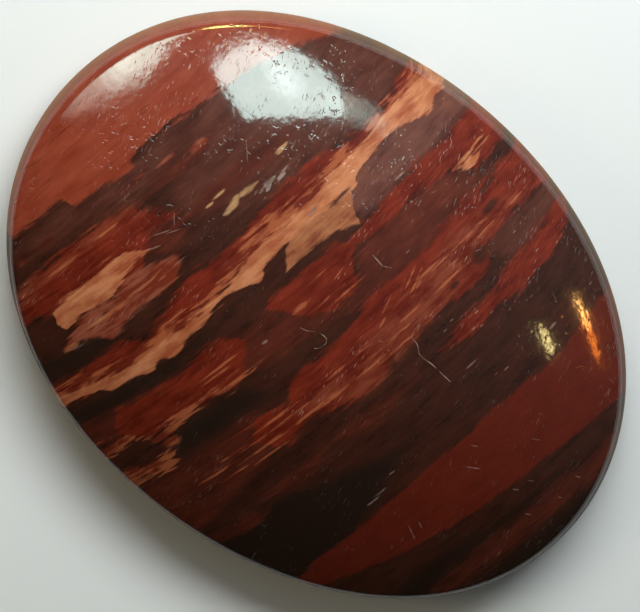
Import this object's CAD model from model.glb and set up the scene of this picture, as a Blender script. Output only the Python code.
"""A polished snakeskin jasper cabochon, lying on white paper in window light.

Sizes are in millimetres in the code below and become metres only where a mesh, a light, the
camera or a material's coordinates are made. +X runs along the stone's longest way, +Y along its
width and +Z up. The stone's banding is drawn in a frame of its own: "along" runs with the bands
and "across" runs over them, both in millimetres from the middle of the crown.
"""

import logging
import math
from dataclasses import dataclass, field
from enum import Enum
from typing import Any, ClassVar

import bpy
import numpy as np
from mathutils import Matrix, Vector


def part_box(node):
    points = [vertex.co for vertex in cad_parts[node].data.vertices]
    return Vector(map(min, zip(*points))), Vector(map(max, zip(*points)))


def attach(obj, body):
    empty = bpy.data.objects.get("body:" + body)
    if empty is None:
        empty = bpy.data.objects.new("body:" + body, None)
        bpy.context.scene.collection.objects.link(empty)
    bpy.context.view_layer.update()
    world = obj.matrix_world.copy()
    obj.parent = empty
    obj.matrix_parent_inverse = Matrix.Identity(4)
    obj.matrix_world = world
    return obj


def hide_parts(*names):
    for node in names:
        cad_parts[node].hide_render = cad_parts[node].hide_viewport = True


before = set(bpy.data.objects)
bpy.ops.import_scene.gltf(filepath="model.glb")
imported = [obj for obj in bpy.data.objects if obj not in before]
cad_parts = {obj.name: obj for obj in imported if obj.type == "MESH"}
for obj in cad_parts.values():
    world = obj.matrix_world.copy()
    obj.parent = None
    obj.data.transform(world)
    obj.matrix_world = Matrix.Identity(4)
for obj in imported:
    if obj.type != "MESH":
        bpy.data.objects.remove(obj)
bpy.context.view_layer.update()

NODE = "jasper_stone"
BODY = "root"

MM = 0.001
IMAGE_WIDTH = 640
IMAGE_HEIGHT = 612

# A noise lies about its middle, and the stone's stretched noises are this rough
NOISE_MIDDLE = 0.5
GRAIN_ROUGHNESS = 0.55

log = logging.getLogger("snakeskin_jasper")

Socket = bpy.types.NodeSocket
Tree = bpy.types.NodeTree
Place = tuple[float, float]
Edge = tuple[Place, ...]


def linear_colour(hex_code: str) -> tuple[float, float, float, float]:
    """Turns an sRGB colour into the linear values that a shader takes.

    By the sRGB rule, a value up to 0.04045 is divided by 12.92, and a larger one has 0.055 added,
    is divided by 1.055 and is raised to the power 2.4.

    Args:
        hex_code: six hexadecimal digits, with or without a leading hash sign.

    Returns:
        Linear red, green and blue, and an alpha of one.
    """
    digits = hex_code.lstrip("#")
    values = [int(digits[start : start + 2], 16) / 255 for start in (0, 2, 4)]
    linear = [value / 12.92 if value <= 0.04045 else ((value + 0.055) / 1.055) ** 2.4 for value in values]
    return (linear[0], linear[1], linear[2], 1.0)


def add_node(
    tree: Tree, kind: str, inputs: dict[str | int, Any] | None = None, output: str = "", **settings: Any
) -> Socket:
    """Adds one node, with its settings, its input values and its links.

    Args:
        tree: the node tree that gets the node.
        kind: the node's type, without the words ShaderNode before it.
        inputs: a socket to link, or a value to set, for each input by its name or its place.
        output: the name of the output that is wanted, where it isn't the first in use.
        settings: the node's own properties.

    Returns:
        The wanted output, or the node's first input where it has no output.
    """
    node = tree.nodes.new("ShaderNode" + kind)
    for name, value in settings.items():
        setattr(node, name, value)
    used = [socket for socket in node.inputs if socket.enabled]
    for key, value in (inputs or {}).items():
        target = used[key] if isinstance(key, int) else next(socket for socket in used if socket.name == key)
        if isinstance(value, bpy.types.NodeSocket):
            tree.links.new(value, target)
        else:
            target.default_value = value
    if output:
        return node.outputs[output]
    used_outputs = [socket for socket in node.outputs if socket.enabled]
    return used_outputs[0] if used_outputs else node.inputs[0]


def empty_tree(owner: bpy.types.Material | bpy.types.Light | bpy.types.World) -> Tree:
    """Gives a material, a light or a world a node tree with nothing in it yet.

    Args:
        owner: what gets the tree.

    Returns:
        The tree.
    """
    owner.use_nodes = True
    owner.node_tree.nodes.clear()
    return owner.node_tree


def combine(tree: Tree, operation: str, *values: Socket | float) -> Socket:
    """Joins several values into one, two at a time.

    Args:
        tree: the node tree.
        operation: what is done with each two, such as MULTIPLY, MAXIMUM or SUBTRACT.
        values: the values, in order.

    Returns:
        The joined value.
    """
    result = values[0]
    for value in values[1:]:
        result = add_node(tree, "Math", {0: result, 1: value}, operation=operation)
    return result


def share_between(tree: Tree, value: Socket, start: float, full: float) -> Socket:
    """How far a value has come from one level to another, easing in and out.

    Args:
        tree: the node tree.
        value: the value.
        start: the level at which the share is zero.
        full: the level at which it is one, above or below the first.

    Returns:
        The share, from zero to one.
    """
    levels = {"Value": value, "From Min": start, "From Max": full}
    return add_node(tree, "MapRange", levels, interpolation_type="SMOOTHSTEP")


class Lay(Enum):
    """How a short mark lies against the banding, in degrees turned from along it."""

    LEVEL = 0.0
    SLANTING = -13.0
    RISING = -24.0
    FALLING = 20.0
    OBLIQUE = 50.0
    STEEP = 98.0
    COUNTER = -48.0


@dataclass(frozen=True)
class Fleck:
    """One short mark: a soft lens of one mineral, a pale scratch or a speck.

    Fields: along and across of its middle, its length and width in millimetres, and its lay.
    """

    along: float
    across: float
    length: float
    width: float
    lay: Lay = Lay.LEVEL


@dataclass(frozen=True)
class Thread:
    """One thread of lint lying on the stone, traced where it crosses the banding or runs along it.

    Fields: its places, each with the coordinate that it is followed in first, whether that is the
    one across the banding, and its half width in millimetres.
    """

    places: Edge
    crosses: bool = True
    half_width: float = 0.032


@dataclass(frozen=True)
class Band:
    """One band or lens of mineral between two edges, each a few (along, across) places.

    Edges that share their first or last place close the band to a tip there. Edges that don't
    run out of the stone. The blur multiplies the softness of the layer's edges.
    """

    upper: Edge
    lower: Edge
    blur: float = 1.0


@dataclass(frozen=True)
class Layer:
    """One mineral, its tones, the places it fills, and how its edges look.

    Fields: its name, which labels its node, dark and light tones in sRGB, the bands and flecks
    that it fills, softness, how far an edge fades, ragged and fibrous, how far the two noises move
    an edge, all in millimetres, streaks, how strongly fibres mix the two tones, cover, how fully
    it hides what is below, hairs and seams, how strongly pale and dark hairlines show in it,
    fleck_ragged, how far the ragged noise breaks up its flecks, in shares of their size, and
    on_crown, whether it lies on the polished crown alone instead of running through the stone.
    """

    name: str
    dark: str
    light: str
    bands: tuple[Band, ...] = ()
    flecks: tuple[Fleck, ...] = ()
    softness: float = 0.10
    ragged: float = 0.5
    fibrous: float = 0.6
    streaks: float = 1.0
    cover: float = 1.0
    hairs: float = 0.0
    seams: float = 0.0
    fleck_ragged: float = 1.6
    on_crown: bool = False


@dataclass(frozen=True)
class Banding:
    """How the banding lies in the stone.

    On the crown it runs at strike degrees from +Y toward +X. Below, it leans by dip_x and dip_y
    millimetres for each millimetre down from the height at which its markings are drawn.
    """

    strike: float = 9.5
    dip_x: float = 0.12
    dip_y: float = 0.30
    level: float = 7.6

    def along(self) -> tuple[Vector, float]:
        """Finds how the place along the bands is read from a place in the stone.

        Returns:
            The direction that gives it, and what is added to it, both in millimetres.
        """
        turn = math.radians(self.strike)
        lean = math.cos(turn) * self.dip_y + math.sin(turn) * self.dip_x
        return Vector((math.sin(turn), math.cos(turn), -lean)), lean * self.level

    def across(self) -> tuple[Vector, float]:
        """Finds how the place across the bands is read from a place in the stone.

        Returns:
            The direction that gives it, and what is added to it, both in millimetres.
        """
        turn = math.radians(self.strike)
        lean = math.cos(turn) * self.dip_x - math.sin(turn) * self.dip_y
        return Vector((math.cos(turn), -math.sin(turn), -lean)), lean * self.level


# The browner chert, at the upper right and in a few bands
BROWN = Layer(
    name="brown chert",
    dark="#422018",
    light="#5c3428",
    softness=0.6,
    ragged=0.9,
    fibrous=0.7,
    streaks=0.8,
    hairs=0.12,
    bands=(
        # The end of the middle band at the right
        Band(upper=((9.5, 2.6), (12.0, 2.1), (16.5, 2.6)), lower=((9.5, 2.6), (12.0, 4.2), (16.5, 3.8))),
        # The broad dark field under the window, above the main vein
        Band(
            upper=((-3.0, -11.0), (4.0, -13.6), (12.5, -13.0)),
            lower=((-3.0, -11.0), (2.0, -8.4), (14.5, -7.6)),
            blur=1.6,
        ),
        # Along the foot of the orange-red
        Band(
            upper=((-10.5, -14.0), (-7.0, -14.6), (0.0, -14.4)),
            lower=((-10.5, -14.0), (-7.0, -13.4), (0.0, -13.0)),
        ),
    ),
)

# The greyest chert, beside the main vein at the upper right
GREY_MAROON = Layer(
    name="grey maroon chert",
    dark="#54302a",
    light="#704638",
    softness=0.6,
    ragged=0.8,
    fibrous=0.5,
    streaks=0.9,
    hairs=0.2,
    bands=(
        Band(
            upper=((4.0, -5.0), (6.5, -6.2), (16.5, -6.2)),
            lower=((4.0, -5.0), (6.0, -3.9), (16.5, -3.8)),
        ),
    ),
)

# Chert halfway to the brick red, in the soft lens right of the middle
RED_BROWN = Layer(
    name="red-brown chert",
    dark="#461d14",
    light="#663022",
    softness=0.5,
    ragged=0.9,
    fibrous=0.9,
    streaks=0.9,
    hairs=0.2,
    seams=0.2,
    bands=(
        Band(
            upper=(
                (1.6, -0.7), (2.6, -1.4), (3.6, -2.5), (5.0, -2.9), (8.0, -2.8), (11.0, -2.3), (12.8, -0.9),
            ),
            lower=((1.6, -0.7), (3.0, -0.2), (5.0, -0.2), (8.0, -0.2), (11.0, -0.4), (12.8, -0.9)),
        ),
    ),
)

NEAR_BLACK = Layer(
    name="near-black chert",
    dark="#201611",
    light="#2a1d17",
    softness=0.7,
    ragged=1.0,
    fibrous=0.4,
    streaks=0.4,
    bands=(
        # The wedge above the deep red band
        Band(
            upper=((-14.0, 7.0), (-9.0, 5.8), (-6.0, 6.6), (-1.0, 8.0)),
            lower=((-14.0, 11.5), (-8.0, 11.0), (-1.0, 8.0)),
        ),
        # Close below the left end of the main vein
        Band(
            upper=((-14.0, -5.5), (-12.0, -5.2), (-8.0, -4.7), (-5.5, -4.6)),
            lower=((-14.0, -4.4), (-9.0, -4.0), (-5.5, -4.6)),
        ),
        # The dark lens inside the salmon loop
        Band(
            upper=((-11.0, 0.3), (-9.5, -1.2), (-6.5, -1.0), (-5.0, 0.4)),
            lower=((-11.0, 0.3), (-8.0, 0.5), (-5.0, 0.4)),
        ),
        # Above the left end of the main vein
        Band(
            upper=((-14.0, -8.8), (-11.0, -8.2), (-8.0, -7.6)),
            lower=((-14.0, -7.4), (-11.0, -7.3), (-8.0, -7.6)),
        ),
        # The two outermost bands, below the deep red one
        Band(
            upper=((-9.0, 16.5), (-4.0, 15.3), (0.0, 15.6), (4.0, 16.0)),
            lower=((-9.0, 20.0), (-4.0, 16.6), (0.0, 16.3), (4.0, 16.0)),
        ),
        Band(
            upper=((-9.0, 18.6), (3.0, 18.2), (9.0, 18.6)),
            lower=((-9.0, 23.0), (3.0, 23.0), (9.0, 23.0)),
        ),
    ),
)

DULL_RED = Layer(
    name="dull maroon-red chert",
    dark="#401c14",
    light="#5a281c",
    softness=0.35,
    ragged=0.8,
    fibrous=0.8,
    streaks=0.9,
    hairs=0.35,
    seams=0.3,
    bands=(
        # The small lens below the middle
        Band(
            upper=((-3.9, 5.0), (-2.6, 4.7), (-1.0, 4.8), (1.4, 5.1)),
            lower=((-3.9, 5.0), (-2.0, 5.8), (-0.5, 5.5), (1.4, 5.1)),
        ),
        # The broad lens at the lower left, and two small ones below it
        Band(
            upper=((-15.0, 0.6), (-11.5, 0.9), (-8.0, 0.7), (-7.0, 0.6), (-6.3, 0.9), (-5.6, 1.4)),
            lower=((-15.0, 5.0), (-11.5, 4.6), (-10.5, 4.3), (-9.0, 3.7), (-7.5, 3.4), (-5.6, 1.4)),
        ),
        Band(upper=((-9.0, 5.4), (-6.5, 4.9), (-4.4, 5.0)), lower=((-9.0, 5.4), (-6.5, 5.8), (-4.4, 5.0))),
        Band(
            upper=((-12.5, 6.0), (-10.5, 5.6), (-9.0, 6.0)),
            lower=((-12.5, 6.0), (-10.5, 6.6), (-9.0, 6.0)),
        ),
        # A thin lens high in the dark field
        Band(
            upper=((-2.4, -12.6), (-0.5, -13.1), (2.4, -12.8)),
            lower=((-2.4, -12.6), (0.0, -12.2), (2.4, -12.8)),
        ),
        # The dull left end of the band below the vein, and a sliver at its right end
        Band(
            upper=((-14.5, -4.2), (-12.0, -4.0), (-10.5, -3.8)),
            lower=((-14.5, -2.6), (-12.0, -2.2), (-10.5, -2.0)),
        ),
        Band(
            upper=((-5.4, -3.0), (-4.0, -3.2), (-2.5, -3.6), (-1.2, -3.4)),
            lower=((-5.4, -3.0), (-4.0, -2.6), (-2.5, -2.5), (-1.2, -3.4)),
        ),
        # The dull right end of the streaked lens, and a thin lens beyond it
        Band(
            upper=((-5.2, -10.4), (-3.8, -11.9), (-1.8, -10.2)),
            lower=((-5.2, -10.4), (-3.5, -9.4), (-1.8, -10.2)),
        ),
        Band(
            upper=((-2.4, -10.2), (0.0, -10.7), (2.0, -10.7), (6.6, -10.0)),
            lower=((-2.4, -10.2), (0.0, -9.9), (3.0, -9.7), (6.6, -10.0)),
        ),
        # The streak between the two outermost bands
        Band(
            upper=((-6.0, 17.3), (0.0, 16.5), (8.5, 16.8)),
            lower=((-6.0, 17.3), (0.0, 17.8), (8.5, 17.9)),
            blur=1.4,
        ),
    ),
    flecks=(
        Fleck(-8.3, -13.85, 0.8, 0.4), Fleck(-3.2, -13.5, 1.6, 0.26), Fleck(0.2, -10.0, 1.8, 0.12),
        Fleck(-0.4, -9.6, 1.4, 0.1), Fleck(-10.0, -13.8, 0.8, 0.4),
    ),
)

BRICK_RED = Layer(
    name="brick red jasper",
    dark="#581a10",
    light="#782b1b",
    softness=0.20,
    ragged=0.8,
    fibrous=1.1,
    streaks=1.2,
    hairs=0.8,
    seams=0.8,
    bands=(
        # The streaked lens at the upper left, with the tan patch inside it
        Band(
            upper=(
                (-13.0, -12.0), (-11.0, -12.3), (-10.0, -12.7), (-7.0, -12.95), (-5.0, -12.9),
                (-3.9, -12.5), (-3.2, -11.7), (-2.4, -10.8),
            ),
            lower=(
                (-13.0, -10.9), (-11.0, -10.6), (-9.0, -9.8), (-6.0, -9.6), (-4.9, -10.3), (-3.6, -11.0),
                (-2.4, -10.8),
            ),
        ),
        # The red side of the main vein
        Band(
            upper=(
                (-15.0, -7.1), (-11.0, -7.0), (-9.3, -7.1), (-8.0, -6.5), (-7.0, -6.7), (-5.5, -7.4),
                (-4.0, -7.7), (-2.0, -7.5), (1.0, -7.9), (5.0, -8.1), (6.5, -7.8), (8.0, -7.5),
                (12.0, -7.6), (13.0, -7.9), (17.0, -7.5),
            ),
            lower=((-15.0, -5.9), (-11.0, -5.6), (-4.0, -5.9), (1.0, -6.4), (8.0, -6.5), (17.0, -6.5)),
        ),
        # The band below the vein on the left
        Band(
            upper=(
                (-12.6, -2.9), (-11.6, -3.9), (-10.5, -3.8), (-8.0, -3.7), (-6.0, -3.9), (-5.0, -3.7),
                (-4.2, -2.9),
            ),
            lower=(
                (-12.6, -2.9), (-11.0, -1.5), (-9.0, -1.6), (-6.8, -1.2), (-6.0, -1.2), (-5.3, -1.8),
                (-4.2, -2.9),
            ),
        ),
        # The patch in the middle below the quartz
        Band(
            upper=((-2.2, -3.6), (-1.6, -3.95), (1.0, -3.9), (2.8, -3.9), (4.2, -3.2)),
            lower=(
                (-2.2, -3.6), (-1.5, -2.7), (-0.3, -1.5), (0.5, -1.2), (2.0, -1.05), (2.5, -1.2),
                (3.4, -2.6), (4.2, -3.2),
            ),
        ),
        # The band at the upper right
        Band(
            upper=((3.4, -3.3), (6.0, -3.7), (10.0, -3.9), (13.0, -3.8), (17.0, -4.0)),
            lower=(
                (3.4, -3.3), (6.0, -2.7), (8.0, -2.7), (10.0, -2.5), (11.5, -2.2), (12.5, -1.5),
                (13.0, -1.2), (17.0, -1.2),
            ),
        ),
        # The long streaky band through the middle
        Band(
            upper=(
                (-7.5, 2.2), (-6.3, 1.1), (-5.6, 1.4), (-5.0, 1.5), (-4.5, 1.3), (-4.0, 0.7), (-2.8, 0.35),
                (-2.0, 0.6), (1.2, 0.2), (3.0, -0.2), (7.0, -0.1), (9.0, -0.5), (11.2, -0.4), (17.0, -0.4),
            ),
            lower=(
                (-7.5, 2.2), (-6.2, 3.35), (-4.0, 3.0), (-2.8, 3.5), (0.0, 3.85), (1.5, 3.1), (4.5, 3.1),
                (7.5, 3.4), (9.3, 3.35), (9.9, 2.9), (10.2, 2.3), (12.0, 2.1), (14.0, 2.1), (17.0, 2.8),
            ),
        ),
        # The band at the right below the middle
        Band(
            upper=((3.4, 4.9), (5.0, 4.7), (6.0, 4.5), (9.0, 4.5), (9.5, 4.2), (14.0, 3.9), (17.0, 3.4)),
            lower=(
                (3.4, 4.9), (4.5, 5.1), (6.0, 5.55), (8.0, 5.4), (10.0, 5.6), (13.0, 5.65), (14.0, 5.3),
                (17.0, 4.6),
            ),
        ),
    ),
)

# The plain band across the lower right
DEEP_RED = Layer(
    name="deep red jasper",
    dark="#521c12",
    light="#662417",
    softness=0.12,
    ragged=0.5,
    fibrous=0.4,
    streaks=0.5,
    hairs=0.06,
    seams=0.15,
    bands=(
        Band(
            upper=(
                (-11.5, 11.8), (-9.0, 10.7), (-7.0, 10.5), (-4.0, 10.2), (-2.3, 10.05), (6.0, 9.9),
                (9.0, 10.2), (14.0, 9.8), (17.0, 9.8),
            ),
            lower=(
                (-11.5, 11.8), (-6.0, 13.2), (-3.0, 13.8), (0.0, 14.2), (5.0, 14.6), (10.0, 15.2),
                (17.0, 16.0),
            ),
        ),
    ),
)

# The whole upper left of the stone, above the dark field
ORANGE_RED = Layer(
    name="orange-red jasper",
    dark="#7a2f1c",
    light="#8e422c",
    softness=0.16,
    ragged=0.6,
    fibrous=0.8,
    streaks=0.9,
    hairs=0.55,
    seams=0.45,
    bands=(
        Band(
            upper=((-17.0, -23.0), (17.0, -23.0)),
            lower=(
                (-17.0, -15.1), (-9.4, -15.15), (-6.8, -15.3), (-6.1, -15.1), (-5.9, -14.5), (-3.8, -14.4),
                (-2.6, -14.2), (-1.3, -14.75), (1.0, -14.65), (4.2, -14.3), (9.9, -13.1), (12.0, -12.2),
                (17.0, -11.0),
            ),
        ),
    ),
)

# The lens between the tan patch and the main vein
BRICK_LENS = Layer(
    name="mottled brick and pink lens",
    dark="#6e2c1c",
    light="#8c4e3a",
    softness=0.16,
    ragged=0.5,
    fibrous=0.7,
    streaks=2.2,
    hairs=1.0,
    seams=0.8,
    bands=(
        Band(
            upper=(
                (-11.5, -8.5), (-10.5, -9.2), (-9.3, -9.5), (-8.0, -9.3), (-6.8, -9.7), (-5.8, -9.6),
                (-4.2, -9.2), (-3.6, -8.9),
            ),
            lower=(
                (-11.5, -8.5), (-10.0, -8.1), (-9.3, -7.5), (-8.6, -7.7), (-7.0, -8.0), (-5.2, -7.9),
                (-4.2, -8.4), (-3.6, -8.9),
            ),
        ),
    ),
    flecks=(
        Fleck(-0.6, -13.35, 1.2, 0.22), Fleck(1.3, -12.8, 1.1, 0.5), Fleck(-2.3, -13.6, 0.8, 0.14),
    ),
)

SALMON = Layer(
    name="salmon streaks",
    dark="#6a281a",
    light="#a45c3a",
    softness=0.14,
    ragged=0.4,
    fibrous=2.2,
    streaks=3.0,
    cover=0.85,
    bands=(
        # The streak along the lower edge of the left band, and the loop round the dark lens
        Band(
            upper=(
                (-15.0, -2.6), (-12.5, -2.3), (-11.8, -1.9), (-11.0, -1.5), (-9.0, -1.8), (-8.0, -1.75),
                (-7.0, -1.5), (-5.7, -1.35),
            ),
            lower=(
                (-15.0, -1.6), (-12.5, -1.9), (-11.8, -1.5), (-11.0, -0.9), (-9.8, -1.4), (-8.0, -1.5),
                (-7.0, -1.2), (-5.7, -1.35),
            ),
        ),
        Band(
            upper=((-15.0, -0.6), (-13.0, -0.55), (-12.2, -0.3), (-11.4, -0.1), (-10.9, -0.1)),
            lower=((-15.0, 0.5), (-13.0, 0.35), (-12.2, 0.5), (-11.5, 0.45), (-10.9, -0.1)),
        ),
        # Where the tan of the main vein runs out in fibres into its red side
        Band(
            upper=(
                (-15.0, -6.9), (-12.0, -6.6), (-9.0, -6.15), (-7.0, -6.35), (-5.0, -6.2), (-3.0, -6.6),
                (-1.0, -7.2), (1.0, -7.35), (4.0, -7.3), (8.0, -7.3), (12.0, -7.5), (17.0, -7.3),
            ),
            lower=(
                (-15.0, -6.2), (-9.0, -5.6), (-5.0, -5.5), (-3.0, -5.8), (-1.0, -6.2), (4.0, -6.3),
                (17.0, -6.6),
            ),
        ),
    ),
    flecks=(
        Fleck(-10.7, -0.7, 0.9, 0.5), Fleck(-11.0, -11.6, 1.6, 0.16), Fleck(-8.6, -12.3, 1.8, 0.16),
        Fleck(-7.5, -11.2, 2.0, 0.14), Fleck(-3.9, -12.3, 0.5, 0.2), Fleck(-6.0, -12.4, 2.0, 0.14),
        Fleck(-9.4, -10.9, 1.6, 0.12), Fleck(-12.0, -11.2, 1.4, 0.14), Fleck(-6.2, -2.62, 2.4, 0.14),
        Fleck(-6.6, -2.35, 1.8, 0.14), Fleck(-6.6, -1.85, 2.0, 0.16), Fleck(-0.7, -2.4, 1.1, 0.3),
        Fleck(1.4, -1.8, 2.6, 0.12), Fleck(1.6, -1.35, 2.4, 0.12), Fleck(1.0, -3.1, 1.8, 0.12),
        Fleck(2.0, -2.4, 1.4, 0.10, Lay.SLANTING), Fleck(-10.0, 2.5, 2.6, 0.16),
        Fleck(-8.6, 2.0, 1.6, 0.14), Fleck(-9.4, 3.1, 1.8, 0.12), Fleck(-7.0, 3.3, 2.0, 0.12),
        Fleck(-7.6, 1.2, 1.4, 0.12), Fleck(-5.4, 1.75, 2.8, 0.16), Fleck(-5.6, 2.2, 4.6, 0.14),
        Fleck(-5.4, 2.75, 5.4, 0.18), Fleck(-1.0, 1.85, 3.4, 0.16), Fleck(2.4, 2.5, 3.4, 0.14),
        Fleck(0.4, 2.9, 3.0, 0.12), Fleck(-2.4, 2.9, 2.6, 0.14), Fleck(2.0, 3.1, 2.2, 0.14),
        Fleck(3.8, 2.05, 1.8, 0.12), Fleck(8.2, 1.1, 3.8, 0.16), Fleck(11.4, 1.35, 2.4, 0.14, Lay.FALLING),
        Fleck(14.0, 1.7, 3.4, 0.14), Fleck(8.0, 1.6, 1.4, 0.14), Fleck(10.4, 1.6, 2.4, 0.12),
        Fleck(7.2, 2.15, 2.6, 0.14), Fleck(5.1, 0.55, 1.6, 0.12, Lay.RISING),
        Fleck(5.2, 0.95, 1.8, 0.12, Lay.RISING), Fleck(4.9, 1.3, 1.4, 0.12, Lay.RISING),
        Fleck(6.2, 0.9, 1.8, 0.12), Fleck(2.4, 1.3, 1.0, 0.12, Lay.RISING),
        Fleck(3.2, 0.7, 1.6, 0.1, Lay.RISING), Fleck(-8.8, -8.7, 3.2, 0.16), Fleck(-6.2, -8.85, 2.6, 0.2),
        Fleck(-4.8, -8.5, 1.6, 0.14),
    ),
)

TAN = Layer(
    name="tan chalcedony",
    dark="#984f30",
    light="#c28058",
    softness=0.08,
    ragged=0.35,
    fibrous=0.55,
    streaks=1.3,
    seams=0.5,
    bands=(
        # The main vein
        Band(
            upper=(
                (-15.0, -6.45), (-12.0, -6.1), (-9.0, -5.6), (-7.0, -5.7), (-5.0, -5.7), (-3.0, -5.95),
                (-1.0, -6.4), (1.0, -6.6), (4.0, -6.6), (6.0, -6.9), (8.0, -6.8), (12.0, -7.1),
                (17.0, -6.9),
            ),
            lower=(
                (-15.0, -5.6), (-13.5, -5.7), (-12.8, -5.8), (-12.0, -5.6), (-11.0, -5.0), (-10.0, -5.0),
                (-9.2, -4.7), (-8.4, -5.0), (-7.4, -4.65), (-6.5, -5.0), (-5.3, -5.1), (-4.2, -5.5),
                (-3.5, -5.6), (-2.0, -5.25), (-1.5, -4.95), (-0.8, -5.35), (0.5, -5.6), (5.5, -5.6),
                (6.3, -5.45), (6.8, -5.85), (8.0, -6.05), (10.0, -6.15), (11.7, -5.8), (12.2, -5.55),
                (13.1, -5.35), (14.1, -5.7), (17.0, -5.5),
            ),
        ),
        # The patch inside the streaked lens
        Band(
            upper=(
                (-11.0, -9.8), (-10.7, -10.5), (-10.0, -10.65), (-7.0, -10.95), (-6.0, -11.0),
                (-5.5, -10.7), (-4.9, -10.3),
            ),
            lower=(
                (-11.0, -9.8), (-10.7, -9.35), (-9.3, -9.6), (-8.0, -9.4), (-7.4, -9.6), (-6.0, -10.1),
                (-4.9, -10.3),
            ),
        ),
        # A small patch near the edge at the upper right
        Band(
            upper=((11.9, -1.75), (12.6, -1.95), (13.7, -1.7)),
            lower=((11.9, -1.75), (12.9, -1.4), (13.7, -1.7)),
        ),
    ),
    flecks=(
        Fleck(12.6, -2.15, 1.8, 0.16), Fleck(14.0, -2.2, 1.3, 0.14),
    ),
)

# The paler tail on the lower side of the main vein, and pink bits by other edges
PINK_QUARTZ = Layer(
    name="pink quartz",
    dark="#82432a",
    light="#ae724c",
    softness=0.12,
    ragged=0.5,
    fibrous=0.3,
    streaks=1.3,
    cover=0.9,
    hairs=0.5,
    seams=0.5,
    bands=(
        Band(
            upper=((0.1, -4.5), (0.9, -5.4), (2.5, -5.8), (5.0, -5.5), (6.0, -5.5)),
            lower=(
                (0.1, -4.5), (1.5, -4.5), (3.0, -4.5), (4.3, -4.1), (5.0, -3.85), (5.3, -4.5), (6.0, -5.5),
            ),
        ),
    ),
    flecks=(
        Fleck(-11.2, -8.4, 1.0, 0.3), Fleck(-6.4, -8.85, 1.4, 0.24), Fleck(-5.0, -8.05, 1.6, 0.12),
        Fleck(-9.6, -8.75, 1.4, 0.16), Fleck(12.8, -2.1, 1.4, 0.14), Fleck(14.2, -1.9, 1.6, 0.12),
        Fleck(12.2, -1.9, 1.0, 0.16, Lay.FALLING),
    ),
)

# Cream bits in the dark field, near the window
PALE_FLECKS = Layer(
    name="pale quartz flecks",
    dark="#8c6848",
    light="#c8a070",
    streaks=0.8,
    cover=0.85,
    flecks=(
        Fleck(1.5, -9.3, 1.3, 0.34), Fleck(0.4, -9.2, 1.3, 0.36, Lay.SLANTING),
        Fleck(-0.1, -9.1, 0.6, 0.22), Fleck(0.2, -10.1, 0.8, 0.16), Fleck(4.6, -9.7, 0.9, 0.26),
        Fleck(-0.6, -10.0, 0.5, 0.12),
    ),
)

# Grey quartz in small broken bits
GREY_FLECKS = Layer(
    name="grey quartz flecks",
    dark="#6a5a52",
    light="#a8988c",
    streaks=2.6,
    cover=0.6,
    fleck_ragged=4.2,
    flecks=(
        Fleck(2.8, -8.85, 1.3, 0.3), Fleck(3.5, -8.65, 0.9, 0.24, Lay.SLANTING),
        Fleck(2.5, -8.6, 0.8, 0.16, Lay.RISING), Fleck(-10.9, -8.2, 0.8, 0.14),
        Fleck(3.6, -6.1, 0.8, 0.2, Lay.RISING), Fleck(-4.6, 9.5, 0.8, 0.12), Fleck(-3.9, 9.3, 0.6, 0.08),
    ),
)

# Round spots of the dark chert in the mixed band
DARK_SPOTS = Layer(
    name="dark spots",
    dark="#30190f",
    light="#45261a",
    cover=0.85,
    fleck_ragged=0.9,
    flecks=(
        Fleck(9.5, 2.4, 1.5, 0.9), Fleck(7.0, 2.6, 0.7, 0.3), Fleck(11.9, 0.9, 1.6, 0.5),
        Fleck(12.6, -0.1, 1.6, 0.3),
    ),
)

# Brick red with salmon worked through it
MIXED_BAND = Layer(
    name="mixed red and salmon jasper",
    dark="#5e1d12",
    light="#80402c",
    softness=0.4,
    ragged=0.8,
    fibrous=1.4,
    streaks=1.5,
    cover=0.75,
    hairs=1.0,
    seams=0.5,
    bands=(
        # The lower side of the middle band
        Band(
            upper=(
                (-4.2, 2.3), (-3.6, 2.0), (-1.4, 2.0), (0.5, 1.5), (2.5, 1.3), (5.6, 1.0), (7.5, 0.7),
                (9.0, 0.5), (11.0, 0.8), (12.7, 1.1), (14.6, 2.0),
            ),
            lower=(
                (-4.2, 2.3), (-2.0, 3.4), (0.0, 3.9), (1.5, 3.5), (3.3, 3.3), (6.2, 3.1), (8.3, 2.4),
                (12.0, 1.7), (14.6, 2.0),
            ),
        ),
        # The frayed upper edge of the streaked lens
        Band(
            upper=(
                (-12.6, -11.2), (-12.0, -11.9), (-10.1, -12.7), (-8.4, -12.8), (-5.0, -12.9), (-3.4, -12.3),
                (-2.6, -11.2),
            ),
            lower=(
                (-12.6, -11.2), (-12.0, -11.4), (-10.1, -12.2), (-8.4, -12.3), (-5.0, -12.4), (-3.6, -11.9),
                (-2.6, -11.2),
            ),
            blur=1.3,
        ),
    ),
)

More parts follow.
